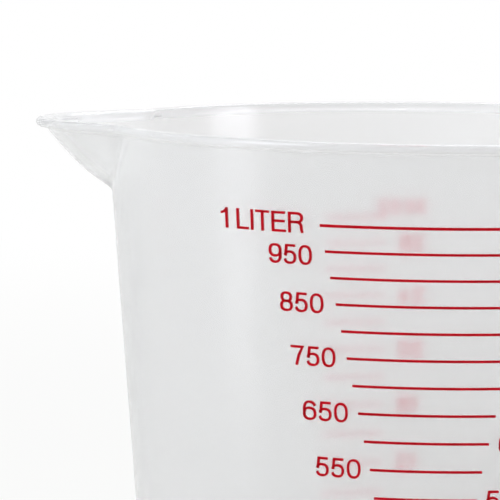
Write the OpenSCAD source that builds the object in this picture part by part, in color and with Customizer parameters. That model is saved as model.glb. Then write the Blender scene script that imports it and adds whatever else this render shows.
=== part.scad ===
// Measuring jug of one litre: a tapered vessel with a pouring spout and a beaded rim,
// a foot ring, a handle of I section and two printed scales.
// Millimetres. +Z is up, and the origin is the centre of the foot on the table.
// The spout points along -X, the handle along +X, and the metric scale faces -Y.

/* [Vessel] */
// Overall height, from the table to the top of the rim
jug_h = 122; // [105:1:160]
// Outer diameter of the wall at the rim
mouth_d = 125; // [120:1:150]
// Outer diameter of the wall at the table
base_d = 105.5; // [90:0.5:118]
// Thickness of the wall, measured level
wall_t = 1.8; // [1.2:0.1:3]
// Thickness of the floor
floor_t = 2.2; // [1.5:0.1:4]
// Radius of the cove between the floor and the wall
cove_r = 4; // [1:0.5:10]

/* [Foot] */
// Height of the foot ring under the floor
foot_h = 1.8; // [0.8:0.1:4]
// Width of the foot ring
foot_w = 3; // [2:0.1:8]

/* [Rim] */
// Height of the bead round the rim
bead_h = 1.7; // [1.2:0.1:2.4]
// How far the bead stands out from the wall
bead_out = 1.2; // [1.2:0.1:4]

/* [Spout] */
// How far the spout stands out from the wall at the rim
spout_out = 13.5; // [6:0.5:25]
// Depth of the spout below the rim
spout_depth = 13.5; // [8:0.5:30]
// Half of the angle that the spout spans at the rim
spout_span = 24; // [18:1:40]
// Half of the angle that the spout spans at its lower end
spout_root = 10; // [6:1:18]
// Upright thickness of the spout's sloping underside
spout_skin = 1.2; // [0.6:0.1:2]

/* [Handle] */
// Height of the handle along the wall
handle_h = 84; // [60:1:94]
// Height of the handle's middle above the table
handle_mid = 69; // [62:1:72]
// Finger gap between the wall and the handle
grip_gap = 30; // [24:1:45]
// Depth of the handle's I section
handle_depth = 11; // [8:0.5:16]
// Width of the handle's flanges
handle_w = 17; // [12:0.5:24]
// Thickness of the handle's flanges
flange_t = 2.2; // [1.5:0.1:3]
// Thickness of the handle's web
web_t = 2.4; // [1.5:0.1:4]
// Outer radius of the handle's corners
handle_corner = 24; // [18:1:36]

/* [Scales] */
// Volume at the top of the metric scale, in millilitres
full_ml = 1000; // [500:50:1000]
// Volume between two metric lines, in millilitres
step_ml = 50; // [25:25:100]
// Volume at the top of the ounce scale, in fluid ounces
full_oz = 30; // [16:2:32]
// Volume between two ounce lines, in fluid ounces
step_oz = 2; // [1:1:4]
// Width of a scale line
line_w = 0.45; // [0.3:0.05:1.2]
// Width of the line at the top of a scale
top_line_w = 0.5; // [0.3:0.05:1.6]
// Thickness of the ink
ink_t = 0.15; // [0.1:0.05:0.4]
// Half of the length of the metric scale's top line
line_half = 19.2; // [14:0.2:30]
// How much a metric line's half shortens for each unit of height below the top line
line_slant = 0.22; // [0:0.01:0.4]
// Least half length of a metric line
line_half_min = 9; // [4:0.5:14]
// Where an ounce line starts, along the wall from the scale's middle
oz_line_start = 9.5; // [8:0.5:16]
// Length of an ounce line
oz_line_l = 13.5; // [8:0.5:20]

/* [Hidden] */
$fn = 96;

// Directions round the axis, in degrees from +X
spout_dir = 180;
metric_dir = -90;
ounce_dir = 90;

// The wall's slope, and the heights of the floor's top and the bead's foot
taper = (mouth_d - base_d) / 2 / jug_h;
lean = atan(taper);
floor_z = foot_h + floor_t;
bead_z = jug_h - bead_h;

// The spout starts at this height, its rise starts softly over a share of its depth and bends by a power,
// and another power makes it blunt across
spout_z = jug_h - spout_depth;
spout_soft = 0.06;
spout_power = 0.62;
spout_blunt = 1.2;
spout_turns = 36;
wall_steps = 12;
bead_steps = 6;

// The handle reaches this far from the wall, and its outlines start this far inside it
handle_reach = grip_gap + handle_depth;
handle_root = mouth_d / 4;

// A cut runs past the solid by this much
past = 5;
ml_per_oz = 29.5735;
mm3_per_ml = 1000;
degrees = 180 / PI;
pale = "whitesmoke";
ink = "crimson";

// Outer and inner radius of the wall at a height
function r_out(z) = base_d / 2 + taper * z;
function r_in(z) = r_out(z) - wall_t;

// Height to which a volume in millilitres fills the tapered vessel
function level(ml) = floor_z
    + (pow(pow(r_in(floor_z), 3) + 3 * taper * ml * mm3_per_ml / PI, 1 / 3) - r_in(floor_z)) / taper;

// True where a line of this width at a height lies on the wall below the bead
function on_wall(z, width) = z + width / 2 < bead_z;

// The vessel: walls, floor and foot are turned about the axis

module vessel_wall() {
    // The cove's circle touches the floor and the inner face of the wall
    stretch = sqrt(1 + taper * taper);
    cove_z = floor_z + cove_r;
    cove_x = r_in(cove_z) - cove_r * stretch;
    touch_x = cove_x + cove_r / stretch;
    touch_z = cove_z - cove_r * taper / stretch;
    color(pale) difference() {
        rotate_extrude() difference() {
            polygon([[r_in(foot_h), foot_h], [r_out(foot_h), foot_h], [r_out(jug_h), jug_h],
                [r_in(jug_h), jug_h], [touch_x, touch_z], [cove_x, floor_z], [r_in(floor_z), floor_z]]);
            translate([cove_x, cove_z]) circle(r = cove_r);
        }
        spout_sector(spout_z, jug_h + past);
    }
}

module vessel_floor() {
    color(pale) rotate_extrude()
        polygon([[0, foot_h], [r_in(foot_h), foot_h], [r_in(floor_z), floor_z], [0, floor_z]]);
}

module foot_ring() {
    color(pale) rotate_extrude()
        polygon([[r_out(0) - foot_w, 0], [r_out(0), 0], [r_out(foot_h), foot_h],
            [r_out(foot_h) - foot_w, foot_h]]);
}

module rim_bead() {
    mid_z = bead_z + bead_h / 2;
    mid_x = bead_centre(r_out(bead_z), r_out(jug_h));
    color(pale) difference() {
        rotate_extrude() difference() {
            union() {
                translate([mid_x, mid_z]) circle(d = bead_h);
                translate([r_in(jug_h), bead_z]) square([mid_x - r_in(jug_h), bead_h]);
            }
            polygon([[0, bead_z - past], [r_out(bead_z - past), bead_z - past],
                [r_out(jug_h + past), jug_h + past], [0, jug_h + past]]);
        }
        spout_sector(bead_z - past, jug_h + past);
    }
}

// Radius of the bead's centre, from the wall's radii at its foot and its top
function bead_centre(r_foot, r_top) = (r_foot + r_top) / 2 + bead_out - bead_h / 2;

// The wedge of the rim that the spout takes up, between two heights
module spout_sector(z_low, z_high) {
    reach = mouth_d;
    translate([0, 0, z_low]) linear_extrude(z_high - z_low)
        polygon([[0, 0], for (angle = [spout_dir - spout_span, spout_dir + spout_span])
            reach * [cos(angle), sin(angle)]]);
}

// The spout: a lobe that grows out of the wall towards the rim
// An angle is counted from the spout's middle, and share goes from 0 at its foot to 1 at the rim

function rise(share) = pow(share * share / (share + spout_soft) * (1 + spout_soft), spout_power);
function lobe(angle, share) =
    let (half = spout_root + (spout_span - spout_root) * share)
    abs(angle) < half ? pow(cos(90 * angle / half), spout_blunt) : 0;
function bulge(angle, share) = share <= 0 ? 0 : spout_out * rise(share) * lobe(angle, share);

// A point of the section at an angle, on the outer and on the inner face
function spout_outer(angle, share) =
    let (z = spout_z + spout_depth * share)
    [r_out(z) + bulge(angle, share), z];
function spout_inner(angle, share) =
    let (z = spout_z + spout_depth * share)
    [r_in(z) + bulge(angle, share - spout_skin / spout_depth), z];

// The closed outline of the section at an angle: up the outer face, round the bead, down the inner face
function spout_section(angle) =
    let (bead_share = 1 - bead_h / spout_depth)
    let (foot = spout_outer(angle, bead_share), top = spout_outer(angle, 1))
    let (middle = [bead_centre(foot[0], top[0]), bead_z + bead_h / 2])
    [for (i = [0 : wall_steps]) spout_outer(angle, bead_share * i / wall_steps),
        for (i = [0 : bead_steps]) let (turn = 180 * i / bead_steps - 90)
            middle + bead_h / 2 * [cos(turn), sin(turn)],
        for (i = [wall_steps : -1 : 0]) spout_inner(angle, i / wall_steps)];

module pouring_spout() {
    angles = [for (i = [0 : spout_turns]) spout_span * (2 * i / spout_turns - 1)];
    sections = [for (angle = angles) spout_section(angle)];
    count = len(sections[0]);
    points = [for (i = [0 : spout_turns]) for (p = sections[i])
        [p[0] * cos(spout_dir + angles[i]), p[0] * sin(spout_dir + angles[i]), p[1]]];
    sides = [for (i = [0 : spout_turns - 1]) for (j = [0 : count - 1])
        let (a = i * count + j, b = i * count + (j + 1) % count)
        each [[a, b, a + count], [b, b + count, a + count]]];
    first = [for (j = [count - 1 : -1 : 0]) j];
    last = [for (j = [0 : count - 1]) spout_turns * count + j];
    color(pale) polyhedron(points, concat(sides, [first, last]), convexity = 6);
}

// The handle: an I section bent into a D, which leans with the wall

// The D's outline, drawn in by an inset on every side
module handle_outline(inset) {
    w = handle_reach - inset;
    h = handle_h - 2 * inset;
    r = handle_corner - inset;
    translate([r_out(handle_mid), handle_mid]) rotate(-lean) {
        translate([-handle_root, -h / 2]) square([handle_root + w - r, h]);
        translate([-handle_root, r - h / 2]) square([handle_root + w, h - 2 * r]);
        for (side = [-1, 1]) translate([w - r, side * (h / 2 - r)]) circle(r = r);
    }
}

// The band between two insets of the outline, of a width across, up to the outside of the wall
module handle_band(inset_out, inset_in, width) {
    difference() {
        rotate([90, 0, 0]) linear_extrude(width, center = true) difference() {
            handle_outline(inset_out);
            handle_outline(inset_in);
        }
        cylinder(h = jug_h, r1 = r_out(0), r2 = r_out(jug_h));
    }
}

module handle_outer_flange() {
    color(pale) handle_band(0, flange_t, handle_w);
}

module handle_inner_flange() {
    color(pale) handle_band(handle_depth - flange_t, handle_depth, handle_w);
}

module handle_web() {
    color(pale) handle_band(flange_t, handle_depth - flange_t, web_t);
}

// The scales: lines of ink on the outside of the wall

// One line at a height, between two distances along the wall from a direction
module ink_line(z, width, dir, along_from, along_to) {
    low = z - width / 2;
    high = z + width / 2;
    turn = degrees / r_out(z);
    rotate([0, 0, dir + along_from * turn])
        rotate_extrude(angle = (along_to - along_from) * turn)
            polygon([[r_out(low), low], [r_out(low) + ink_t, low],
                [r_out(high) + ink_t, high], [r_out(high), high]]);
}

module metric_scale_lines() {
    color(ink) for (ml = [step_ml : step_ml : full_ml]) {
        z = level(ml);
        width = ml == full_ml ? top_line_w : line_w;
        half = max(line_half_min, line_half - line_slant * (level(full_ml) - z));
        if (on_wall(z, width)) ink_line(z, width, metric_dir, -half, half);
    }
}

module ounce_scale_lines() {
    color(ink) for (oz = [step_oz : step_oz : full_oz]) {
        z = level(oz * ml_per_oz);
        width = oz == full_oz ? top_line_w : line_w;
        if (on_wall(z, width)) ink_line(z, width, ounce_dir, oz_line_start, oz_line_start + oz_line_l);
    }
}

vessel_wall();
vessel_floor();
foot_ring();
rim_bead();
pouring_spout();
handle_outer_flange();
handle_inner_flange();
handle_web();
metric_scale_lines();
ounce_scale_lines();
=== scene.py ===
"""Looks of a measuring jug in milky plastic, with red printed scales.

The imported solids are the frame. One continuous skin stands for the vessel's solids and another for the
handle's, the printed lines keep their solids, and the numbers beside them are added.
"""

import math

import bpy
import numpy as np
from bpy.props import FloatProperty
from bpy.props import FloatVectorProperty
from bpy.props import PointerProperty
from mathutils import Matrix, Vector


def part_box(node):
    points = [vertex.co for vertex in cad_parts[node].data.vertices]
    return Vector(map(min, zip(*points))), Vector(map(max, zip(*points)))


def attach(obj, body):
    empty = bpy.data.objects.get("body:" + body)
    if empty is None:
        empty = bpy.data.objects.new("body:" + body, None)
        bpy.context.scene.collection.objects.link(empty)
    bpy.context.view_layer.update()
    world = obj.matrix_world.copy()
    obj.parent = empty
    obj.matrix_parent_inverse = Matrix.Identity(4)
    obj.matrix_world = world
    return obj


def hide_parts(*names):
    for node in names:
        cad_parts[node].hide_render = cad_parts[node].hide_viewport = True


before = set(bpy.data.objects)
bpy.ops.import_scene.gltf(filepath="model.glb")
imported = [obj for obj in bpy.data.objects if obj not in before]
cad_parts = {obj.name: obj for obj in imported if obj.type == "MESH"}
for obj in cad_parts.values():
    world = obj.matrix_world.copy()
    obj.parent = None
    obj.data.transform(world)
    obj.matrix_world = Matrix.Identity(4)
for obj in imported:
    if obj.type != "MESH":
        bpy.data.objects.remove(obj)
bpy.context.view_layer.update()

bl_info = {
    "name": "Measuring Jug",
    "version": (1, 0, 0),
    "blender": (4, 5, 0),
    "location": "View3D > Sidebar > Jug",
    "description": "Builds a milky measuring jug with printed scales round its packed solids",
    "category": "Add Mesh",
}

MM = 0.001
BODY = "root"
VESSEL_NODES = ("vessel_wall", "vessel_floor", "foot_ring", "rim_bead", "pouring_spout")
HANDLE_NODES = ("handle_outer_flange", "handle_inner_flange", "handle_web")
LINE_NODES = ("metric_scale_lines", "ounce_scale_lines")

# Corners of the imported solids, from which the sizes below take their defaults
WALL_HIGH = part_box("vessel_wall")[1]
FLOOR_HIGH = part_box("vessel_floor")[1]
FOOT_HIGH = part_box("foot_ring")[1]
BEAD_LOW, BEAD_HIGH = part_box("rim_bead")
SPOUT_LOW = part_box("pouring_spout")[0]
FLANGE_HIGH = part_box("handle_outer_flange")[1]
WEB_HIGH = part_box("handle_web")[1]
CAD_TAPER = (WALL_HIGH.x - FOOT_HIGH.x) / (WALL_HIGH.z - FOOT_HIGH.z)
CAD_WALL = WALL_HIGH.x - CAD_TAPER * (WALL_HIGH.z - FLOOR_HIGH.z) - FLOOR_HIGH.x
CAD_BEAD_MID = WALL_HIGH.x - CAD_TAPER * (WALL_HIGH.z - BEAD_LOW.z) / 2


def length(name, description, default):
    """A size in metres that the user can change."""
    return FloatProperty(name=name, description=description, default=default, unit="LENGTH", precision=4)


def angle(name, description, degrees):
    """An angle that the user can change, given in degrees."""
    return FloatProperty(name=name, description=description, default=math.radians(degrees),
                         unit="ROTATION")


def share(name, description, default):
    """A value between 0 and 1 that the user can change."""
    return FloatProperty(name=name, description=description, default=default, min=0.0, max=1.0,
                         subtype="FACTOR")


def number(name, description, default, unit="NONE"):
    """A plain number that the user can change, with its unit where it has one."""
    return FloatProperty(name=name, description=description, default=default, unit=unit)


def colour(name, description, default):
    """A linear colour that the user can change."""
    return FloatVectorProperty(name=name, description=description, default=default, size=3,
                               subtype="COLOR")


class JugVesselSizes(bpy.types.PropertyGroup):
    """Sizes of the vessel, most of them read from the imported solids."""

    height: length("Height", "From the table to the top of the rim", WALL_HIGH.z)
    rim_radius: length("Rim radius", "Outer radius of the wall at the rim", WALL_HIGH.x)
    taper: number("Taper", "Growth of the radius for each unit of height", CAD_TAPER)
    wall: length("Wall", "Thickness of the wall, measured level", CAD_WALL)
    floor_top: length("Floor top", "Height of the floor's upper face", FLOOR_HIGH.z)
    foot_height: length("Foot height", "Height of the foot ring", FOOT_HIGH.z)
    foot_width: length("Foot width", "Width of the foot ring", 3.0 * MM)
    cove: length("Cove", "Radius between the floor and the wall", 4.0 * MM)
    bead_height: length("Bead height", "Height of the bead round the rim", WALL_HIGH.z - BEAD_LOW.z)
    bead_out: length("Bead reach", "How far the bead stands out from the wall",
                     BEAD_HIGH.x - CAD_BEAD_MID)
    edge: length("Edge", "Radius of the moulding's edges", 0.6 * MM)
    spout_out: length("Spout reach", "How far the spout stands out from the wall", 13.5 * MM)
    spout_depth: length("Spout depth", "Depth of the spout below the rim", WALL_HIGH.z - SPOUT_LOW.z)
    spout_skin: length("Spout skin", "Upright thickness of the spout's underside", 1.2 * MM)
    spout_span: angle("Spout span", "Half of the angle that the spout takes up at the rim", 24.0)
    spout_root: angle("Spout root", "Half of the angle that the spout takes up at its foot", 10.0)


class JugHandleSizes(bpy.types.PropertyGroup):
    """Sizes of the handle: an I section bent into a D that leans with the wall."""

    height: length("Height", "Height of the handle along the wall", 84.0 * MM)
    middle: length("Middle", "Height of the handle's middle above the table", 69.0 * MM)
    reach: length("Reach", "How far the handle stands out from the wall", 41.0 * MM)
    depth: length("Depth", "Depth of the I section", 11.0 * MM)
    width: length("Width", "Width of the flanges", 2 * FLANGE_HIGH.y)
    flange: length("Flange", "Thickness of the flanges", 2.2 * MM)
    web: length("Web", "Thickness of the web", 2 * WEB_HIGH.y)
    corner: length("Corner", "Outer radius of the D's corners", 24.0 * MM)
    root: length("Root", "Radius where the handle meets the wall", 1.4 * MM)
    sink: length("Sink", "How far the handle's ends lie inside the wall", 0.9 * MM)


class JugPrintSizes(bpy.types.PropertyGroup):
    """Sizes of the printed numbers."""

    digit_height: length("Digit height", "Height of the numbers", 3.48 * MM)
    title_height: length("Title height", "Height of the words at the metric scale's top", 3.62 * MM)
    ounce_height: length("Ounce digit height", "Height of the ounce numbers", 3.6 * MM)
    ounce_title_height: length("Ounce title height", "Height of the words at the ounce scale's top",
                               2.95 * MM)
    ounce_title_lift: length("Ounce title lift", "How far these words' middle lies above their line",
                             2.2 * MM)
    stroke: share("Stroke", "Width of a letter's stroke against its height", 0.118)
    ounce_stroke: share("Ounce stroke", "The same on the ounce scale", 0.2)
    gap: share("Gap", "Gap between two letters against their height", 0.155)
    ink: length("Ink", "Thickness of the ink", 0.15 * MM)
    soak: length("Soak", "How deep the ink has bitten into the plastic", 0.3 * MM)
    edge_top: length("Edge at the top", "From the scale's middle to the numbers, at the top line",
                     21.8 * MM)
    edge_least: length("Least edge", "From the scale's middle to the lowest numbers", 10.6 * MM)
    edge_slant: number("Slant", "Change of the edge for each unit of height", 0.241)
    title_edge: length("Title edge", "From the scale's middle to the words at its top", 22.35 * MM)
    title_lift: length("Title lift", "How far these words' middle lies above the top line", 0.3 * MM)
    first_drop: length("First drop", "How far the first number hangs below its line, clear of the words",
                       0.8 * MM)
    ounce_edge: length("Ounce edge", "From the back's middle to the right end of the ounce numbers",
                       6.5 * MM)
    ounce_title_edge: length("Ounce title edge", "From the back's middle to the right end of the title",
                             11.4 * MM)


class JugFinish(bpy.types.PropertyGroup):
    """Colours and finish of the plastic and the ink."""

    plastic: colour("Plastic", "Milky plastic where it is clearest", (0.898, 0.898, 0.898))
    plastic_cloud: colour("Cloudy plastic", "Milky plastic where it is cloudiest", (0.878, 0.878, 0.878))
    ink: colour("Ink", "Metric scale's ink where it lies thick", (0.6, 0.004, 0.012))
    ink_thin: colour("Thin ink", "Metric scale's ink where it lies thin", (0.68, 0.007, 0.02))
    ounce_ink: colour("Ounce ink", "Ounce scale's ink where it lies thick", (0.88, 0.012, 0.08))
    ounce_ink_thin: colour("Thin ounce ink", "Ounce scale's ink where it lies thin", (0.92, 0.02, 0.11))
    clearness: share("Clearness", "Share of the light that goes through a face of the walls", 0.83)
    rim_clearness: share("Rim clearness", "Share of the light that goes through a face of the rim", 0.72)
    handle_clearness: share("Handle clearness",
                            "Share of the light that goes through a face of the handle", 0.5)
    ink_clearness: share("Ink clearness",
                         "Share of the light that goes through the metric scale's ink", 0.7)
    ounce_clearness: share("Ounce clearness",
                           "Share of the light that goes through the ounce scale's ink", 0.95)
    roughness: share("Roughness", "Roughness of the plastic, which blurs what lies behind it", 0.24)
    gloss: share("Gloss", "Weight of the plastic's smooth outer layer", 0.6)


class JugStage(bpy.types.PropertyGroup):
    """The camera and the lights."""

    camera_back: length("Camera distance", "Level distance from the jug's axis to the camera",
                        520.6 * MM)
    camera_up: length("Camera height", "Height of the camera above the table", 155.9 * MM)
    camera_yaw: angle("Camera yaw", "Turn of the view to the right", -3.827)
    camera_pitch: angle("Camera pitch", "Turn of the view downwards", 6.508)
    camera_roll: angle("Camera roll", "Turn of the view about its own axis", 0.487)
    lens: number("Lens", "Focal length in millimetres", 194.4, unit="CAMERA")
    dome: number("Dome", "Strength of the light from all around", 0.4)
    key: number("Key", "Power of the lamp on the left, in watts", 4.2, unit="POWER")
    top: number("Top", "Power of the lamp above and behind, in watts", 12.5, unit="POWER")
    fill: number("Fill", "Power of the lamp on the right, in watts", 2.8, unit="POWER")


# Outlines and meshes

# Two points closer than this are one
SAME_POINT = 1e-6 * MM


def rounded(corners, radii, steps=6, closed=False):
    """A flat outline whose corners are arcs.

    Each arc touches both sides of its corner: its centre lies on the corner's bisector at the radius
    divided by the sine of half the corner's angle.
    """
    corners = np.asarray(corners, dtype=float)
    count = len(corners)
    parts = []
    for i, radius in enumerate(radii):
        corner = corners[i]
        if radius == 0 or (not closed and i in (0, count - 1)):
            parts.append(corner[None])
            continue
        before = corners[i - 1] - corner
        after = corners[(i + 1) % count] - corner
        before = before / np.linalg.norm(before)
        after = after / np.linalg.norm(after)
        half = 0.5 * math.acos(float(before @ after))
        bisector = (before + after) / np.linalg.norm(before + after)
        centre = corner + bisector * radius / math.sin(half)
        start = corner + before * radius / math.tan(half) - centre
        end = corner + after * radius / math.tan(half) - centre
        first = math.atan2(start[1], start[0])
        turn = math.atan2(start[0] * end[1] - start[1] * end[0], float(start @ end))
        angles = first + turn * np.linspace(0.0, 1.0, steps + 1)
        parts.append(centre + radius * np.stack([np.cos(angles), np.sin(angles)], axis=1))
    return np.concatenate(parts)


def subdivided(path, spacing):
    """The path with each stretch cut into equal steps, none longer than that stretch's spacing.

    A stretch without length, where two arcs meet in one point, gets no step.
    """
    runs = np.linalg.norm(np.diff(path, axis=0), axis=1)
    steps = np.where(runs > SAME_POINT, np.ceil(runs / spacing), 0).astype(int)
    stretch = np.repeat(np.arange(len(runs)), steps)
    first = np.repeat(np.cumsum(steps) - steps, steps)
    along = (np.arange(steps.sum()) - first) / np.repeat(steps, steps)
    inner = path[stretch] + along[:, None] * (path[stretch + 1] - path[stretch])
    return np.concatenate([inner, path[-1:]])


def grid_faces(rows, columns, close_rows, close_columns):
    """Four-sided faces of a grid of points, numbered row by row, closed round either way or not."""
    row = np.arange(rows if close_rows else rows - 1)[:, None]
    column = np.arange(columns if close_columns else columns - 1)[None, :]
    next_row = (row + 1) % rows
    next_column = (column + 1) % columns
    corners = [row * columns + column, next_row * columns + column,
               next_row * columns + next_column, row * columns + next_column]
    return np.stack(corners, axis=-1).reshape(-1, 4)


def band_faces(rows, columns, closed):
    """Faces of a closed outline carried along a path, with its ends shut unless the path is closed."""
    faces = grid_faces(rows, columns, close_rows=closed, close_columns=True).tolist()
    if not closed:
        faces.append(list(range(columns)))
        faces.append(list(range(rows * columns - 1, (rows - 1) * columns - 1, -1)))
    return faces


def add_piece(name, points, faces, slot, *materials, smooth=True):
    """A piece of the jug, made of points and faces in the jug's own frame, that goes with the jug."""
    mesh = bpy.data.meshes.new(name)
    mesh.from_pydata(points.tolist(), [], faces)
    mesh.polygons.foreach_set("use_smooth", np.full(len(mesh.polygons), smooth))
    mesh.update()
    mesh.validate()
    for material in materials:
        mesh.materials.append(material)
    piece = bpy.data.objects.new(name, mesh)
    bpy.context.scene.collection.objects.link(piece)
    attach(piece, BODY)
    return piece


# The vessel

# Soft start of the spout at its foot, the power of its growth, and the power of its shape across
SPOUT_SOFT = 0.06
SPOUT_POWER = 0.62
SPOUT_BLUNT = 1.2
BEAD_FILLET = 0.3 * MM
FOOT_EDGE = 1.0 * MM
# Steps round the axis, and the longest step along the section at the spout's height and below it
TURNS = 360
FINE = 0.8 * MM
COARSE = 7.0 * MM


def wall_radius(sizes, z):
    """Outer radius of the wall at a height: it grows evenly towards the rim."""
    return sizes.rim_radius - sizes.taper * (sizes.height - z)


def spout_lobe(sizes, around, rise):
    """Share of the spout's reach at an angle from its middle.

    It is a power of a cosine over the spout's span, which widens evenly from the foot to the rim.
    """
    half = sizes.spout_root + (sizes.spout_span - sizes.spout_root) * rise
    return np.cos(0.5 * math.pi * np.clip(around / half, -1.0, 1.0)) ** SPOUT_BLUNT


def spout_bulge(sizes, around, rise):
    """How far the spout stands out at an angle and at a share of its depth.

    The share is squared near the spout's foot, where it starts softly, then bent by a power.
    """
    rise = np.clip(rise, 0.0, 1.0)
    growth = (rise * rise / (rise + SPOUT_SOFT) * (1 + SPOUT_SOFT)) ** SPOUT_POWER
    return sizes.spout_out * growth * spout_lobe(sizes, around, rise)


def vessel_section(sizes):
    """Radii and heights of the plain section, without the spout.

    It runs from the middle of the underside out round the foot, up the wall, over the bead, down the
    inner face and in to the floor's middle.
    """
    top = sizes.height
    bead_foot = top - sizes.bead_height
    bead_radius = wall_radius(sizes, top - sizes.bead_height / 2) + sizes.bead_out
    spout_foot = top - sizes.spout_depth
    corners = [
        (0.0, sizes.foot_height),
        (wall_radius(sizes, sizes.foot_height) - sizes.foot_width, sizes.foot_height),
        (wall_radius(sizes, 0.0) - sizes.foot_width, 0.0),
        (wall_radius(sizes, 0.0), 0.0),
        (wall_radius(sizes, spout_foot), spout_foot),
        (wall_radius(sizes, bead_foot), bead_foot),
        (bead_radius, bead_foot),
        (bead_radius, top),
        (wall_radius(sizes, top) - sizes.wall, top),
        (wall_radius(sizes, spout_foot) - sizes.wall, spout_foot),
        (wall_radius(sizes, sizes.floor_top) - sizes.wall, sizes.floor_top),
        (0.0, sizes.floor_top),
    ]
    round_bead = sizes.bead_height / 2
    radii = [0, sizes.edge, sizes.edge, FOOT_EDGE, 0, BEAD_FILLET, round_bead, round_bead,
             sizes.edge, 0, sizes.cove, 0]
    path = rounded(corners, radii)
    middle = 0.5 * (path[1:, 1] + path[:-1, 1])
    return subdivided(path, np.where(middle > spout_foot, FINE, COARSE))


def vessel_surface(sizes):
    """Points of the vessel's skin, as a grid of angles and stations of the section.

    Every station is turned about the axis. Near the spout it moves outwards by the spout's bulge: that
    of its own height on the outer face, the mean of the bead's foot and top on the bead, and that of a
    point lower down on the inner face, so that the sloping underside keeps its thickness.
    """
    section = vessel_section(sizes)
    radius, z = section[None, :, 0], section[None, :, 1]
    around = np.linspace(-math.pi, math.pi, TURNS, endpoint=False)[:, None]
    top = sizes.height
    depth = sizes.spout_depth
    rise = np.clip((z - top + depth) / depth, 0.0, 1.0)
    outer = wall_radius(sizes, z)
    inner = outer - sizes.wall
    round_bead = sizes.bead_height / 2
    bead_middle = wall_radius(sizes, top - round_bead) + sizes.bead_out - round_bead
    rim_width = bead_middle - (wall_radius(sizes, top) - sizes.wall)

    on_bead = np.clip((radius - outer) / BEAD_FILLET, 0.0, 1.0)
    on_top = (z > top - sizes.edge) & (radius < bead_middle)
    on_bead = np.where(on_top, np.clip((radius - inner) / rim_width, 0.0, 1.0), on_bead)
    on_inner = np.where(on_top, 1.0 - on_bead, radius < 0.5 * (outer + inner))
    on_outer = 1.0 - on_bead - on_inner

    bead_rise = 1.0 - sizes.bead_height / depth
    bead_bulge = 0.5 * (spout_bulge(sizes, around, bead_rise) + spout_bulge(sizes, around, 1.0))
    radius = (radius + on_outer * spout_bulge(sizes, around, rise) + on_bead * bead_bulge
              + on_inner * spout_bulge(sizes, around, rise - sizes.spout_skin / depth))
    z = np.broadcast_to(z, radius.shape)
    return np.stack([-radius * np.cos(around), -radius * np.sin(around), z], axis=-1)


class JUG_OT_vessel(bpy.types.Operator):
    """Makes the vessel's skin: foot, wall, bead, spout, inner face and floor in one closed surface"""

    bl_idname = "jug.vessel"
    bl_label = "Vessel"

    def execute(self, context):
        sizes = context.scene.jug_vessel
        finish = context.scene.jug_finish
        surface = vessel_surface(sizes)
        ring = surface[:, 1:-1]
        rows, columns = ring.shape[:2]
        points = np.concatenate([ring.reshape(-1, 3), surface[:1, 0], surface[:1, -1]])
        low_pole, high_pole = rows * columns, rows * columns + 1
        first = np.arange(rows) * columns
        after = np.roll(first, -1)
        low = np.stack([np.full(rows, low_pole), after, first], axis=1)
        high = np.stack([first + columns - 1, after + columns - 1, np.full(rows, high_pole)], axis=1)
        quads = grid_faces(rows, columns, close_rows=True, close_columns=False)
        faces = quads.tolist() + low.tolist() + high.tolist()
        piece = add_piece("vessel_skin", points, faces, "milky_plastic",
                          milky_plastic("wall plastic", finish.clearness),
                          milky_plastic("rim plastic", finish.rim_clearness))
        # The rim is thick, so its faces take the milkier plastic
        middles = np.empty(3 * len(piece.data.polygons))
        piece.data.polygons.foreach_get("center", middles)
        on_rim = middles.reshape(-1, 3)[:, 2] > sizes.height - sizes.bead_height
        piece.data.polygons.foreach_set("material_index", on_rim.astype(np.int32))
        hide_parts(*VESSEL_NODES)
        return {"FINISHED"}


# The handle

HANDLE_EDGE = 0.9 * MM
HANDLE_FILLET = 1.7 * MM
EDGE_STEPS = 5
ARM_POINTS = 20
ARC_STEPS = 20
# Share of the reach along which the arms follow the wall's roundness
ROUND_SHARE = 0.25


def handle_outline(sizes):
    """The I section, counted from its middle: across the depth first, then across the width."""
    half = sizes.depth / 2
    inside = half - sizes.flange
    wide = sizes.width / 2
    web = sizes.web / 2
    corners = [(half, -wide), (half, wide), (inside, wide), (inside, web),
               (-inside, web), (-inside, wide), (-half, wide), (-half, -wide),
               (-inside, -wide), (-inside, -web), (inside, -web), (inside, -wide)]
    edge, fillet = HANDLE_EDGE, HANDLE_FILLET
    radii = [edge, edge, edge, fillet, fillet, edge, edge, edge, edge, fillet, fillet, edge]
    return rounded(corners, radii, steps=EDGE_STEPS, closed=True)


def outline_normals(outline):
    """Outward directions of a closed outline: the mean side's direction turned by a right angle."""
    along = np.roll(outline, -1, axis=0) - np.roll(outline, 1, axis=0)
    along = along / np.linalg.norm(along, axis=1, keepdims=True)
    return np.stack([along[:, 1], -along[:, 0]], axis=1)


def handle_path(sizes):
    """The middle of the I section along the D, and the D's outward direction, in the leaning plane.

    Two straight arms start inside the wall, two quarter circles and a straight back join them. Steps
    along an arm lie closer near the wall, by a squared share.
    """
    inset = sizes.depth / 2
    turn = sizes.corner - inset
    far = sizes.reach - inset
    high = sizes.height / 2 - inset
    arm = -sizes.sink + (far - turn + sizes.sink) * np.linspace(0.0, 1.0, ARM_POINTS) ** 2
    bend = np.linspace(math.pi / 2, 0.0, ARC_STEPS + 1)
    up = np.stack([np.cos(bend), np.sin(bend)], axis=1)
    straight_up = np.broadcast_to([0.0, 1.0], (len(arm) - 1, 2))
    upper = np.stack([arm, np.full(len(arm), high)], axis=1)[:-1]
    upper_bend = np.array([far - turn, high - turn]) + turn * up
    flip = np.array([1.0, -1.0])
    path = np.concatenate([upper, upper_bend])
    out = np.concatenate([straight_up, up])
    return np.concatenate([path, path[::-1] * flip]), np.concatenate([out, out[::-1] * flip])


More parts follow.
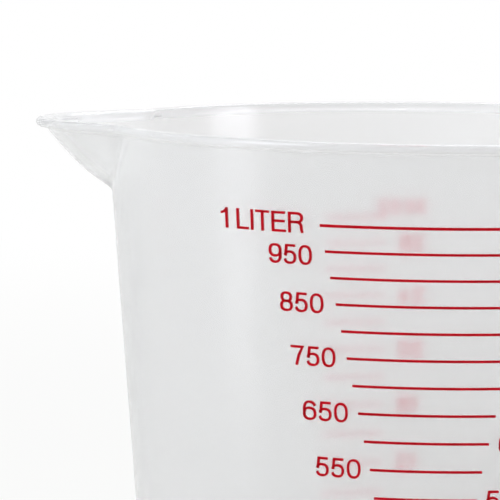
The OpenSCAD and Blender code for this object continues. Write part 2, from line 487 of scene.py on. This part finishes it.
class JUG_OT_handle(bpy.types.Operator):
    """Makes the handle's skin: the I section carried along the D, spread where it meets the wall"""

    bl_idname = "jug.handle"
    bl_label = "Handle"

    def execute(self, context):
        sizes = context.scene.jug_handle
        vessel = context.scene.jug_vessel
        outline = handle_outline(sizes)
        path, out = handle_path(sizes)
        # The root's quarter circle: at the wall the outline grows by the whole radius
        near = 1.0 - np.clip(path[:, 0] / sizes.root, 0.0, 1.0)
        spread = sizes.root * (1.0 - np.sqrt(1.0 - near ** 2))
        section = outline[None] + spread[:, None, None] * outline_normals(outline)[None]
        across = section[..., 1]
        x = path[:, None, 0] + section[..., 0] * out[:, None, 0]
        z = path[:, None, 1] + section[..., 0] * out[:, None, 1]
        # The arms' ends follow the round wall, and this dies out along the arm
        lean = math.atan(vessel.taper)
        start = wall_radius(vessel, sizes.middle)
        round_wall = wall_radius(vessel, sizes.middle + z * math.cos(lean))
        fade = np.clip(1.0 - x / (ROUND_SHARE * sizes.reach), 0.0, 1.0)
        x = x - fade * (round_wall - np.sqrt(round_wall ** 2 - across ** 2))
        points = np.stack([start + x * math.cos(lean) + z * math.sin(lean), across,
                           sizes.middle - x * math.sin(lean) + z * math.cos(lean)], axis=-1)
        rows, columns = points.shape[:2]
        faces = band_faces(rows, columns, closed=False)
        plastic = milky_plastic("handle plastic", context.scene.jug_finish.handle_clearness)
        piece = add_piece("handle_skin", points.reshape(-1, 3), faces, "milky_plastic", plastic)
        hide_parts(*HANDLE_NODES)
        return {"FINISHED"}


# The print

FULL_ML = 1000
STEP_ML = 50
FULL_OZ = 30
LABEL_STEP_OZ = 4
ML_PER_OZ = 29.5735
ML = 1e-6
FRONT = -0.5 * math.pi
BACK = 0.5 * math.pi
# The end of some words from which their place is counted
LEFT_END = 0
RIGHT_END = 1


def level(vessel, millilitres):
    """Height to which a volume fills the tapered vessel, from the volume of a cut cone."""
    start = wall_radius(vessel, vessel.floor_top) - vessel.wall
    radius = (start ** 3 + 3 * vessel.taper * millilitres * ML / math.pi) ** (1 / 3)
    return vessel.floor_top + (radius - start) / vessel.taper


# Letters drawn with a pen: for each its width against its height, then its strokes. The pen's middle
# moves in a box from (0, 0) to (1, 1). Two numbers are a point, and six are an arc: its middle, its two
# radii and the angles in degrees from which and to which it runs. A thin space adds a second gap and
# nothing more.
THIN_SPACE = "\u2009"
LETTERS = {
    " ": (0.27, []),
    THIN_SPACE: (0.0, []),
    "0": (0.70, [[(0.5, 0.5, 0.5, 0.5, 90, 450)]]),
    "1": (0.40, [[(0.0, 0.79), (0.55, 0.84), (1.0, 1.0)], [(1.0, 0.0), (1.0, 1.0)]]),
    "2": (0.68, [[(0.5, 0.71, 0.5, 0.29, 170, -30), (0.0, 0.0), (1.0, 0.0)]]),
    "3": (0.68, [[(0.47, 0.75, 0.45, 0.25, 160, -90)], [(0.5, 0.26, 0.5, 0.26, 90, -160)]]),
    "4": (0.72, [[(0.76, 0.0), (0.76, 1.0), (0.0, 0.3), (1.0, 0.3)]]),
    "5": (0.66, [[(0.93, 1.0), (0.16, 1.0), (0.06, 0.47)], [(0.48, 0.32, 0.52, 0.32, 150, -155)]]),
    "6": (0.70, [[(0.5, 0.32, 0.5, 0.32, 90, 450)], [(0.52, 0.55, 0.52, 0.45, 35, 180), (0.0, 0.32)]]),
    "7": (0.71, [[(0.0, 1.0), (1.0, 1.0), (0.62, 0.52), (0.42, 0.0)]]),
    "8": (0.68, [[(0.5, 0.76, 0.44, 0.24, 90, 450)], [(0.5, 0.265, 0.5, 0.265, 90, 450)]]),
    "9": (0.70, [[(0.5, 0.68, 0.5, 0.32, 90, 450)], [(0.48, 0.45, 0.52, 0.45, 215, 360), (1.0, 0.68)]]),
    "E": (0.745, [[(0.96, 1.0), (0.0, 1.0), (0.0, 0.0), (1.0, 0.0)], [(0.0, 0.53), (0.92, 0.53)]]),
    "I": (0.14, [[(0.5, 0.0), (0.5, 1.0)]]),
    "L": (0.67, [[(0.0, 1.0), (0.0, 0.0), (1.0, 0.0)]]),
    "O": (0.86, [[(0.5, 0.5, 0.5, 0.5, 90, 450)]]),
    "R": (0.78, [[(0.0, 0.0), (0.0, 1.0), (0.58, 0.76, 0.40, 0.24, 90, -90), (0.0, 0.52)],
                 [(0.6, 0.52), (0.82, 0.47), (0.93, 0.33), (0.95, 0.12), (1.0, 0.0)]]),
    "T": (0.74, [[(0.0, 1.0), (1.0, 1.0)], [(0.5, 0.0), (0.5, 1.0)]]),
    "Z": (0.72, [[(0.0, 1.0), (1.0, 1.0), (0.0, 0.0), (1.0, 0.0)]]),
}
# Power of the superellipse, degrees between two points of an arc, and a limit for sharp corners
LETTER_CURVE = 2.4
LETTER_TURN = 8.0
SHARPEST = 0.3


def pen_path(items):
    """Points of a stroke.

    Its arcs are parts of a superellipse, an ellipse whose sine and cosine are flattened by a power.
    """
    parts = []
    for item in items:
        if len(item) == 2:
            parts.append(np.array([item]))
            continue
        x, y, wide, high, first, last = item
        turn = np.radians(np.linspace(first, last, 1 + round(abs(last - first) / LETTER_TURN)))
        flat = 2.0 / LETTER_CURVE
        along = np.sign(np.cos(turn)) * np.abs(np.cos(turn)) ** flat
        up = np.sign(np.sin(turn)) * np.abs(np.sin(turn)) ** flat
        parts.append(np.stack([x + wide * along, y + high * up], axis=1))
    return np.concatenate(parts)


def pen_edges(path, closed, pen):
    """Both edges of a stroke: its points moved sideways by half the pen, along each corner's bisector.

    An open stroke is first made longer by half the pen at both ends.
    """
    if closed:
        path = path[:-1]
        ahead = np.roll(path, -1, axis=0) - path
    else:
        ends = path[[0, -1]] - path[[1, -2]]
        ends = ends / np.linalg.norm(ends, axis=1, keepdims=True)
        path = path.copy()
        path[[0, -1]] += 0.5 * pen * ends
        ahead = np.diff(path, axis=0, append=2 * path[-1:] - path[-2:-1])
    ahead = ahead / np.linalg.norm(ahead, axis=1, keepdims=True)
    side = np.stack([-ahead[:, 1], ahead[:, 0]], axis=1)
    before = np.roll(side, 1, axis=0)
    if not closed:
        before[0] = side[0]
    bisector = (side + before) / np.maximum(1.0 + (side * before).sum(axis=1, keepdims=True), SHARPEST)
    return path - 0.5 * pen * bisector, path + 0.5 * pen * bisector


def wrapped_words(vessel, prints, words, height, pen, direction, edge, end, z_middle):
    """Strokes of words laid round the wall, as a list of points and faces.

    A letter's place across becomes an arc along the wall, its place up a height, and the ink's
    thickness goes outwards. The edge is the distance along the wall from the direction to the words'
    left or right end. Every stroke is a flat section carried along its path.
    """
    widths = [LETTERS[letter][0] for letter in words]
    start = np.cumsum([0.0] + [width + prints.gap for width in widths])
    left = edge - end * height * (start[-1] - prints.gap)
    strokes = []
    for letter, width, x in zip(words, widths, start):
        for items in LETTERS[letter][1]:
            path = pen_path(items)
            closed = bool(np.allclose(path[0], path[-1]))
            path = 0.5 * pen + path * np.array([max(width - pen, 0.0), 1.0 - pen])
            edges = np.clip(np.stack(pen_edges(path, closed, pen), axis=1), 0.0, [max(width, pen), 1.0])
            flat = edges[:, [0, 0, 1, 1]]
            z = z_middle + height * (flat[..., 1] - 0.5)
            turn = direction + (left + height * (x + flat[..., 0])) / wall_radius(vessel, z_middle)
            layer = np.array([-prints.soak, prints.ink, prints.ink, -prints.soak])
            radius = wall_radius(vessel, z) + layer
            points = np.stack([radius * np.cos(turn), radius * np.sin(turn), z], axis=-1)
            strokes.append((points.reshape(-1, 3), band_faces(len(points), 4, closed)))
    return strokes


def joined(strokes):
    """Several meshes as one set of points and faces."""
    starts = np.cumsum([0] + [len(points) for points, _ in strokes])
    points = np.concatenate([points for points, _ in strokes])
    faces = []
    for (_, part), start in zip(strokes, starts):
        faces += [[start + corner for corner in face] for face in part]
    return points, faces


class JUG_OT_lines(bpy.types.Operator):
    """Gives the printed lines of both scales their ink"""

    bl_idname = "jug.lines"
    bl_label = "Scale lines"

    def execute(self, context):
        for name, ink in zip(LINE_NODES, (metric_ink(), ounce_ink())):
            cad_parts[name].material_slots[0].material = ink
        return {"FINISHED"}


class JUG_OT_numbers(bpy.types.Operator):
    """Prints the numbers of both scales on the wall"""

    bl_idname = "jug.numbers"
    bl_label = "Scale numbers"

    def execute(self, context):
        vessel = context.scene.jug_vessel
        prints = context.scene.jug_print
        full = level(vessel, FULL_ML)
        metric = wrapped_words(vessel, prints, "1 LITER", prints.title_height, prints.stroke, FRONT,
                               -prints.title_edge, RIGHT_END, full + prints.title_lift)
        for count, millilitres in enumerate(range(FULL_ML - STEP_ML, 0, -STEP_ML)):
            z = level(vessel, millilitres)
            edge = max(prints.edge_least, prints.edge_top - prints.edge_slant * (full - z))
            drop = 0.0 if count else prints.first_drop
            edge, end = (edge, LEFT_END) if count % 2 else (-edge, RIGHT_END)
            metric += wrapped_words(vessel, prints, str(millilitres), prints.digit_height,
                                    prints.stroke, FRONT, edge, end, z - drop)
        title_z = level(vessel, FULL_OZ * ML_PER_OZ) + prints.ounce_title_lift
        ounces = wrapped_words(vessel, prints, f"{FULL_OZ}{THIN_SPACE}OZ", prints.ounce_title_height,
                               prints.ounce_stroke, BACK, prints.ounce_title_edge, RIGHT_END, title_z)
        for volume in range(FULL_OZ - FULL_OZ % LABEL_STEP_OZ, 0, -LABEL_STEP_OZ):
            z = level(vessel, volume * ML_PER_OZ)
            ounces += wrapped_words(vessel, prints, str(volume), prints.ounce_height,
                                    prints.ounce_stroke, BACK, prints.ounce_edge, RIGHT_END, z)
        add_piece("metric_numbers", *joined(metric), "red_ink", metric_ink(), smooth=False)
        add_piece("ounce_numbers", *joined(ounces), "red_ink", ounce_ink(), smooth=False)
        return {"FINISHED"}


# Finishes

CLOUD_DETAIL = 3.0
CLOUD_ROUGHNESS = 0.5
CLOUD_RANGE = (0.3, 0.7)
GRAIN_DETAIL = 2.0
BUMP_STRENGTH = 0.35
# Index of refraction, low so that the walls blur what lies behind them and hardly bend it
REFRACTION = 1.1
# A scale counts the noise's cells along one metre, and waves are the bump's height
PLASTIC_CLOUD_SCALE = 14.0
PLASTIC_GRAIN_SCALE = 260.0
PLASTIC_WAVES = 0.005 * MM
PLASTIC_ROUGHNESS_SPREAD = 0.015
COAT_ROUGHNESS = 0.17
INK_CLOUD_SCALE = 420.0
INK_GRAIN_SCALE = 2500.0
INK_WAVES = 0.01 * MM
INK_ROUGHNESS = (0.42, 0.6)


def unevenness_group():
    """Shader group for the slow changes of a moulded or printed surface: cloudiness and small waves."""
    name = "surface unevenness"
    group = bpy.data.node_groups.get(name)
    if group:
        return group
    group = bpy.data.node_groups.new(name, "ShaderNodeTree")
    group.interface.new_socket("Vector", in_out="INPUT", socket_type="NodeSocketVector")
    group.interface.new_socket("Cloud Scale", in_out="INPUT", socket_type="NodeSocketFloat")
    group.interface.new_socket("Grain Scale", in_out="INPUT", socket_type="NodeSocketFloat")
    group.interface.new_socket("Cloud", in_out="OUTPUT", socket_type="NodeSocketFloat")
    group.interface.new_socket("Grain", in_out="OUTPUT", socket_type="NodeSocketFloat")
    nodes, links = group.nodes, group.links
    start = nodes.new("NodeGroupInput")
    end = nodes.new("NodeGroupOutput")
    cloud = nodes.new("ShaderNodeTexNoise")
    cloud.inputs["Detail"].default_value = CLOUD_DETAIL
    cloud.inputs["Roughness"].default_value = CLOUD_ROUGHNESS
    spread = nodes.new("ShaderNodeMapRange")
    spread.inputs["From Min"].default_value = CLOUD_RANGE[0]
    spread.inputs["From Max"].default_value = CLOUD_RANGE[1]
    grain = nodes.new("ShaderNodeTexNoise")
    grain.inputs["Detail"].default_value = GRAIN_DETAIL
    links.new(start.outputs["Vector"], cloud.inputs["Vector"])
    links.new(start.outputs["Cloud Scale"], cloud.inputs["Scale"])
    links.new(start.outputs["Vector"], grain.inputs["Vector"])
    links.new(start.outputs["Grain Scale"], grain.inputs["Scale"])
    links.new(cloud.outputs["Fac"], spread.inputs["Value"])
    links.new(spread.outputs["Result"], end.inputs["Cloud"])
    links.new(grain.outputs["Fac"], end.inputs["Grain"])
    return group


def new_material(name):
    """A node material with its Principled shader and the unevenness group on Object coordinates."""
    material = bpy.data.materials.new(name)
    material.use_nodes = True
    nodes, links = material.node_tree.nodes, material.node_tree.links
    place = nodes.new("ShaderNodeTexCoord")
    uneven = nodes.new("ShaderNodeGroup")
    uneven.node_tree = unevenness_group()
    links.new(place.outputs["Object"], uneven.inputs["Vector"])
    return material, nodes, links, nodes["Principled BSDF"], uneven


def vary_colour(nodes, links, uneven, target, first, second):
    """Feeds a colour socket with two colours mixed by the cloudiness."""
    mix = nodes.new("ShaderNodeMix")
    mix.data_type = "RGBA"
    mix.inputs["A"].default_value = (*first, 1.0)
    mix.inputs["B"].default_value = (*second, 1.0)
    links.new(uneven.outputs["Cloud"], mix.inputs["Factor"])
    links.new(mix.outputs["Result"], target)


def vary_value(nodes, links, source, target, low, high):
    """Feeds a value socket with a range that follows an unevenness output."""
    spread = nodes.new("ShaderNodeMapRange")
    spread.inputs["To Min"].default_value = low
    spread.inputs["To Max"].default_value = high
    links.new(source, spread.inputs["Value"])
    links.new(spread.outputs["Result"], target)


def add_bump(nodes, links, uneven, shader, distance):
    """Small waves on the surface, from the grain."""
    bump = nodes.new("ShaderNodeBump")
    bump.inputs["Strength"].default_value = BUMP_STRENGTH
    bump.inputs["Distance"].default_value = distance
    links.new(uneven.outputs["Grain"], bump.inputs["Height"])
    links.new(bump.outputs["Normal"], shader.inputs["Normal"])


def milky_plastic(name, clearness):
    """Milky, satin plastic that lets part of the light through and blurs what lies behind it."""
    finish = bpy.context.scene.jug_finish
    material, nodes, links, shader, uneven = new_material(name)
    uneven.inputs["Cloud Scale"].default_value = PLASTIC_CLOUD_SCALE
    uneven.inputs["Grain Scale"].default_value = PLASTIC_GRAIN_SCALE
    vary_colour(nodes, links, uneven, shader.inputs["Base Color"], finish.plastic, finish.plastic_cloud)
    vary_value(nodes, links, uneven.outputs["Cloud"], shader.inputs["Roughness"],
               finish.roughness - PLASTIC_ROUGHNESS_SPREAD, finish.roughness + PLASTIC_ROUGHNESS_SPREAD)
    add_bump(nodes, links, uneven, shader, PLASTIC_WAVES)
    shader.inputs["IOR"].default_value = REFRACTION
    shader.inputs["Transmission Weight"].default_value = clearness
    shader.inputs["Coat Weight"].default_value = finish.gloss
    shader.inputs["Coat Roughness"].default_value = COAT_ROUGHNESS
    return material


def metric_ink():
    """The ink of the metric scale."""
    finish = bpy.context.scene.jug_finish
    return red_ink("red ink", finish.ink, finish.ink_thin, finish.ink_clearness)


def ounce_ink():
    """The ink of the ounce scale: a thinner layer, through which more light shines."""
    finish = bpy.context.scene.jug_finish
    return red_ink("thin red ink", finish.ounce_ink, finish.ounce_ink_thin, finish.ounce_clearness)


def red_ink(name, thick, thin, clearness):
    """Screen-printed ink: matt, and a little lighter where it lies thin."""
    material = bpy.data.materials.get(name)
    if material:
        return material
    material, nodes, links, shader, uneven = new_material(name)
    uneven.inputs["Cloud Scale"].default_value = INK_CLOUD_SCALE
    uneven.inputs["Grain Scale"].default_value = INK_GRAIN_SCALE
    vary_colour(nodes, links, uneven, shader.inputs["Base Color"], thick, thin)
    vary_value(nodes, links, uneven.outputs["Grain"], shader.inputs["Roughness"], *INK_ROUGHNESS)
    add_bump(nodes, links, uneven, shader, INK_WAVES)
    shader.inputs["IOR"].default_value = REFRACTION
    shader.inputs["Transmission Weight"].default_value = clearness
    return material


# The stage

WHITE = (1.0, 1.0, 1.0, 1.0)
DOME_COLOUR = (0.985, 0.99, 1.0, 1.0)
FLOOR_COLOUR = (0.68, 0.68, 0.63, 1.0)
FLOOR_ROUGHNESS = 0.9
FLOOR_SIZE = 8.0
FLOOR_DROP = 0.2 * MM
# Distances from the jug's axis between which the shadow fades out, and the share of it that is shown
SHADOW_NEAR = 0.25
SHADOW_FAR = 0.9
SHADOW_SHARE = 0.18
# The lamps by the setting of their power: each one's place, its size in metres and its tint
LAMPS = {
    "key": ((-0.6, -0.38, 0.52), 0.4, (0.9, 0.94, 1.0)),
    "top": ((0.2, 0.65, 1.25), 1.2, (0.93, 0.95, 1.0)),
    "fill": ((1.18, -0.13, 0.19), 0.45, (0.95, 0.93, 1.0)),
}
LAMP_AIM = (0.0, 0.0, 0.11)
# Width of the camera's picture plane in millimetres, and the distances between which it sees
SENSOR = 36.0
CLIP_NEAR = 0.01
CLIP_FAR = 100.0


def seen_directly(nodes, links):
    """A mask that is 1 for what the camera, a reflection or a see-through surface sees."""
    path = nodes.new("ShaderNodeLightPath")
    first = nodes.new("ShaderNodeMath")
    first.operation = "MAXIMUM"
    second = nodes.new("ShaderNodeMath")
    second.operation = "MAXIMUM"
    links.new(path.outputs["Is Camera Ray"], first.inputs[0])
    links.new(path.outputs["Is Glossy Ray"], first.inputs[1])
    links.new(first.outputs["Value"], second.inputs[0])
    links.new(path.outputs["Is Transmission Ray"], second.inputs[1])
    return second.outputs["Value"]


def floor_material():
    """White floor that keeps a soft shadow near the jug and is plain white farther out."""
    material = bpy.data.materials.new("white floor")
    material.use_nodes = True
    nodes, links = material.node_tree.nodes, material.node_tree.links
    diffuse = nodes["Principled BSDF"]
    diffuse.inputs["Base Color"].default_value = FLOOR_COLOUR
    diffuse.inputs["Roughness"].default_value = FLOOR_ROUGHNESS
    diffuse.inputs["Specular IOR Level"].default_value = 0.0
    white = nodes.new("ShaderNodeEmission")
    white.inputs["Strength"].default_value = 1.0
    place = nodes.new("ShaderNodeTexCoord")
    away = nodes.new("ShaderNodeVectorMath")
    away.operation = "LENGTH"
    fade = nodes.new("ShaderNodeMapRange")
    fade.interpolation_type = "SMOOTHSTEP"
    fade.inputs["From Min"].default_value = SHADOW_NEAR
    fade.inputs["From Max"].default_value = SHADOW_FAR
    fade.inputs["To Min"].default_value = 1.0 - SHADOW_SHARE
    fade.inputs["To Max"].default_value = 1.0
    product = nodes.new("ShaderNodeMath")
    product.operation = "MULTIPLY"
    mix = nodes.new("ShaderNodeMixShader")
    links.new(place.outputs["Object"], away.inputs[0])
    links.new(away.outputs["Value"], fade.inputs["Value"])
    links.new(fade.outputs["Result"], product.inputs[0])
    links.new(seen_directly(nodes, links), product.inputs[1])
    links.new(product.outputs["Value"], mix.inputs["Fac"])
    links.new(diffuse.outputs["BSDF"], mix.inputs[1])
    links.new(white.outputs["Emission"], mix.inputs[2])
    links.new(mix.outputs["Shader"], nodes["Material Output"].inputs["Surface"])
    return material


def make_world(strength):
    """White all round: a plain dome as light, and pure white where it is seen."""
    world = bpy.data.worlds.new("white studio")
    world.use_nodes = True
    nodes, links = world.node_tree.nodes, world.node_tree.links
    dome = nodes["Background"]
    dome.inputs["Color"].default_value = DOME_COLOUR
    dome.inputs["Strength"].default_value = strength
    white = nodes.new("ShaderNodeBackground")
    white.inputs["Color"].default_value = WHITE
    mix = nodes.new("ShaderNodeMixShader")
    links.new(seen_directly(nodes, links), mix.inputs["Fac"])
    links.new(dome.outputs["Background"], mix.inputs[1])
    links.new(white.outputs["Background"], mix.inputs[2])
    links.new(mix.outputs["Shader"], nodes["World Output"].inputs["Surface"])
    bpy.context.scene.world = world


def put(holder, side, up, back, place):
    """Puts a lamp or a camera at a place, with its axes along three directions, and links it."""
    axes = np.column_stack([side, up, back, place])
    holder.matrix_world = Matrix(np.vstack([axes, [0, 0, 0, 1]]).tolist())
    bpy.context.scene.collection.objects.link(holder)


def add_lamp(name, place, aim, size, power, tint):
    """A round lamp of a size in metres, turned from its place towards its aim."""
    lamp = bpy.data.lights.new(name, "AREA")
    lamp.shape = "DISK"
    lamp.size = size
    lamp.energy = power
    lamp.color = tint
    holder = bpy.data.objects.new(name, lamp)
    back = np.array(place) - np.array(aim)
    back = back / np.linalg.norm(back)
    side = np.cross([0.0, 0.0, 1.0], back)
    side = side / np.linalg.norm(side)
    put(holder, side, np.cross(back, side), back, place)


def add_camera(stage):
    """The camera at the photograph's place.

    Yaw turns it to the right, then pitch downwards, and roll turns it about its own axis.
    """
    data = bpy.data.cameras.new("camera")
    data.sensor_width = SENSOR
    data.lens = stage.lens
    data.clip_start = CLIP_NEAR
    data.clip_end = CLIP_FAR
    yaw, pitch, roll = stage.camera_yaw, stage.camera_pitch, stage.camera_roll
    ahead = np.array([math.sin(yaw) * math.cos(pitch), math.cos(yaw) * math.cos(pitch),
                      -math.sin(pitch)])
    right = np.array([math.cos(yaw), -math.sin(yaw), 0.0])
    up = np.cross(right, ahead)
    side = math.cos(roll) * right + math.sin(roll) * up
    top = math.cos(roll) * up - math.sin(roll) * right
    camera = bpy.data.objects.new("camera", data)
    put(camera, side, top, -ahead, (0.0, -stage.camera_back, stage.camera_up))
    bpy.context.scene.camera = camera


class JUG_OT_stage(bpy.types.Operator):
    """Makes the white floor, the lights and the camera"""

    bl_idname = "jug.stage"
    bl_label = "Stage"

    def execute(self, context):
        stage = context.scene.jug_stage
        half = FLOOR_SIZE / 2
        corners = ((-half, -half), (half, -half), (half, half), (-half, half))
        mesh = bpy.data.meshes.new("floor")
        mesh.from_pydata([(x, y, -FLOOR_DROP) for x, y in corners], [], [(0, 1, 2, 3)])
        mesh.materials.append(floor_material())
        floor = bpy.data.objects.new("floor", mesh)
        context.scene.collection.objects.link(floor)
        make_world(stage.dome)
        for name, (place, size, tint) in LAMPS.items():
            add_lamp(f"{name} lamp", place, LAMP_AIM, size, getattr(stage, name), tint)
        add_camera(stage)
        context.scene.view_settings.view_transform = "Standard"
        return {"FINISHED"}


class JUG_PT_panel(bpy.types.Panel):
    """The jug's pieces and stage in the sidebar"""

    bl_idname = "JUG_PT_panel"
    bl_label = "Measuring jug"
    bl_space_type = "VIEW_3D"
    bl_region_type = "UI"
    bl_category = "Jug"

    def draw(self, context):
        for operator in OPERATORS:
            self.layout.operator(operator.bl_idname)
        for group in GROUPS:
            box = self.layout.box()
            settings = getattr(context.scene, group)
            for name in settings.__annotations__:
                box.prop(settings, name)


GROUPS = {
    "jug_vessel": JugVesselSizes,
    "jug_handle": JugHandleSizes,
    "jug_print": JugPrintSizes,
    "jug_finish": JugFinish,
    "jug_stage": JugStage,
}
OPERATORS = (JUG_OT_vessel, JUG_OT_handle, JUG_OT_lines, JUG_OT_numbers, JUG_OT_stage)


def register():
    """Makes the settings, the operators and the panel known to Blender."""
    for name, group in GROUPS.items():
        bpy.utils.register_class(group)
        setattr(bpy.types.Scene, name, PointerProperty(type=group))
    for operator in OPERATORS:
        bpy.utils.register_class(operator)
    bpy.utils.register_class(JUG_PT_panel)


def unregister():
    """Takes away what register made."""
    bpy.utils.unregister_class(JUG_PT_panel)
    for operator in reversed(OPERATORS):
        bpy.utils.unregister_class(operator)
    for name, group in reversed(GROUPS.items()):
        delattr(bpy.types.Scene, name)
        bpy.utils.unregister_class(group)


def main():
    """Builds the jug and its stage."""
    register()
    bpy.ops.jug.vessel()
    bpy.ops.jug.handle()
    bpy.ops.jug.lines()
    bpy.ops.jug.numbers()
    bpy.ops.jug.stage()


if __name__ == "__main__":
    main()
